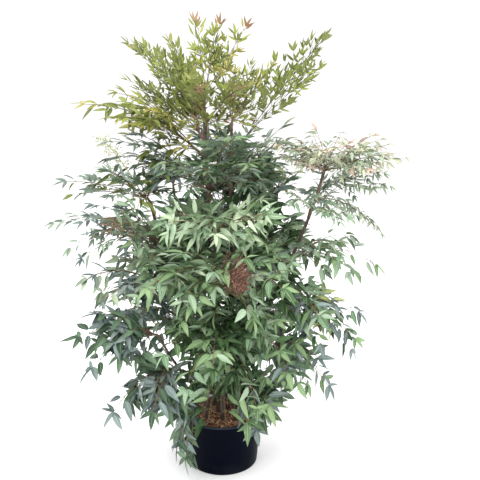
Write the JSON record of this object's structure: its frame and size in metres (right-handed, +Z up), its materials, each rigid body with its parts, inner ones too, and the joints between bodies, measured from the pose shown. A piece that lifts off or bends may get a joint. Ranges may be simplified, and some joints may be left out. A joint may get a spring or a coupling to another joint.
{
  "type": "heavenly bamboo in a nursery pot",
  "caption": "Evergreen shrub of upright bare canes with tiers of finely divided, leaflet-bearing fronds, growing in a plain round black nursery pot filled with bark mix.",
  "frame": {"origin": "centre of the pot's flat underside", "axes": "+Z up along the pot's axis, -Y to the plant's front, +X to its right as seen from the front"},
  "size_m": [1.0033, 0.8099, 1.327],
  "materials": {
    "pot": "satin black moulded plastic",
    "mix": "coarse shredded bark, matte",
    "cane": "rough brown bark with leaf-base ridges",
    "young_foliage": "satin, fresh yellow-green flushed with bronze",
    "upper_foliage": "satin, grey-green",
    "middle_foliage": "satin, mid green with paler midribs",
    "lower_foliage": "satin, dark blue-green",
    "dried_panicle": "matte, dried red-brown",
    "pale_panicle": "matte, pale yellow-green"
  },
  "bodies": {
    "root": {"pot": "pot", "potting_mix": "mix", "cane_main": "cane", "cane_second": "cane", "cane_right": "cane", "cane_left": "cane", "cane_front": "cane", "cane_low_left": "cane", "cane_low_right": "cane", "cane_back_left": "cane", "cane_back_right": "cane", "cane_back": "cane", "panicle_front": "dried_panicle", "panicle_left": "dried_panicle", "panicle_pale": "pale_panicle", "crown_tip": "young_foliage", "crown_left": "young_foliage", "crown_front": "young_foliage", "crown_low_left": "upper_foliage", "crown_back_left": "upper_foliage", "crown_back": "young_foliage", "crown_right": "young_foliage", "upper_left": "upper_foliage", "upper_front": "upper_foliage", "upper_right": "upper_foliage", "upper_back": "upper_foliage", "right_tip": "upper_foliage", "right_far": "upper_foliage", "right_front": "upper_foliage", "right_back": "upper_foliage", "right_inner": "middle_foliage", "right_low": "middle_foliage", "right_side": "middle_foliage", "left_tip": "upper_foliage", "left_far": "upper_foliage", "left_back": "middle_foliage", "left_inner": "middle_foliage", "left_front": "middle_foliage", "left_side": "middle_foliage", "front_tip": "middle_foliage", "front_mid": "middle_foliage", "front_low": "middle_foliage", "front_foot": "lower_foliage", "low_left_tip": "middle_foliage", "low_left_hang": "lower_foliage", "pot_left_hang": "lower_foliage", "low_right_tip": "middle_foliage", "low_right_hang": "lower_foliage", "pot_right_hang": "lower_foliage", "back_left_tip": "middle_foliage", "back_left_mid": "middle_foliage", "back_right_tip": "middle_foliage", "back_right_mid": "middle_foliage", "back_tip": "middle_foliage", "back_low_left": "lower_foliage", "back_low_right": "lower_foliage", "core_left": "middle_foliage", "core_right": "middle_foliage", "core_back": "middle_foliage"}
  },
  "joints": []
}
